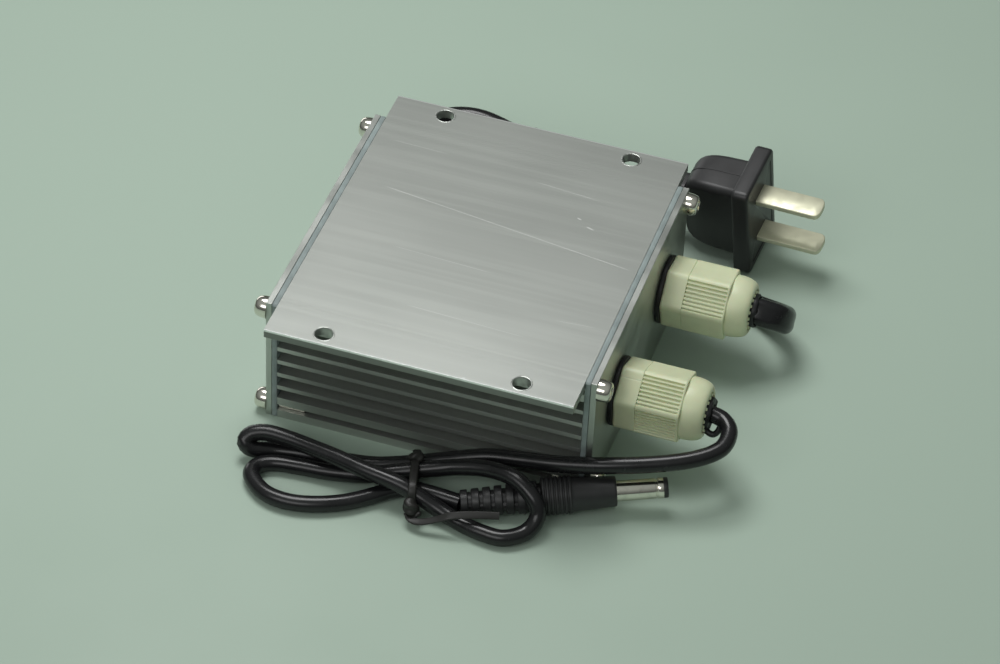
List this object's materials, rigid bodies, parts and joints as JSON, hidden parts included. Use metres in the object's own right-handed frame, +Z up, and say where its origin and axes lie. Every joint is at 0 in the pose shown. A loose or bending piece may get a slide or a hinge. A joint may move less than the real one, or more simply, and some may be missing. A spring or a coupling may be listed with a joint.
{
  "type": "led driver",
  "caption": "Driver in a finned aluminium extrusion with a drilled mounting flange, gasketed end plates, cable glands, an output lead with a barrel plug and a mains lead with a blade plug.",
  "frame": {"origin": "middle of the housing's base, on the surface it lies on", "axes": "+X along the extrusion towards the glands, +Y across it towards the mains gland, +Z up towards the mounting flange"},
  "size_m": [0.1157, 0.1455, 0.035],
  "materials": {
    "housing_aluminium": "brushed extrusion",
    "plate_aluminium": "satin sheet",
    "gasket_rubber": "matt",
    "screw_nickel": "bright plated",
    "gland_nylon": "satin moulded",
    "seal_rubber": "matt",
    "cord_vinyl": "satin",
    "tie_vinyl": "satin",
    "plug_vinyl": "fine grain",
    "plug_nickel": "plated",
    "board_laminate": "solder mask",
    "sheet_film": "film",
    "component_case": "moulded",
    "capacitor_case": "sleeve",
    "film_case": "moulded",
    "fuse_glass": "glass and caps",
    "ferrite_core": "sintered",
    "copper_wire": "enamelled wire"
  },
  "bodies": {
    "root": {"housing": "housing_aluminium", "left_gasket": "gasket_rubber", "right_gasket": "gasket_rubber", "left_end_plate": "plate_aluminium", "right_end_plate": "plate_aluminium", "left_end_screws": "screw_nickel", "right_end_screws": "screw_nickel", "dc_gland_body": "gland_nylon", "dc_gland_washer": "seal_rubber", "dc_gland_locknut": "gland_nylon", "dc_gland_seal": "seal_rubber", "dc_gland_nut": "gland_nylon", "ac_gland_body": "gland_nylon", "ac_gland_washer": "seal_rubber", "ac_gland_locknut": "gland_nylon", "ac_gland_seal": "seal_rubber", "ac_gland_nut": "gland_nylon", "dc_inner_lead": "cord_vinyl", "dc_cord": "cord_vinyl", "dc_plug_grip": "plug_vinyl", "dc_plug_barrel": "plug_nickel", "dc_plug_insulator": "plug_vinyl", "dc_tie": "tie_vinyl", "ac_inner_lead": "cord_vinyl", "ac_cord": "cord_vinyl", "ac_hank": "cord_vinyl", "ac_cord_end": "cord_vinyl", "ac_tie": "tie_vinyl", "ac_plug_body": "plug_vinyl", "ac_blade_upper": "plug_nickel", "ac_blade_lower": "plug_nickel", "circuit_board": "board_laminate", "insulating_sheet": "sheet_film", "fuse": "fuse_glass", "filter_capacitor": "film_case", "choke_core": "ferrite_core", "choke_winding": "copper_wire", "bridge_rectifier": "component_case", "bulk_capacitor": "capacitor_case", "transformer_core": "ferrite_core", "transformer_winding": "copper_wire", "controller_chip": "component_case", "switch_transistor": "component_case", "output_diode": "component_case", "output_inductor": "copper_wire", "output_capacitors": "capacitor_case", "optocoupler": "component_case"}
  },
  "joints": []
}
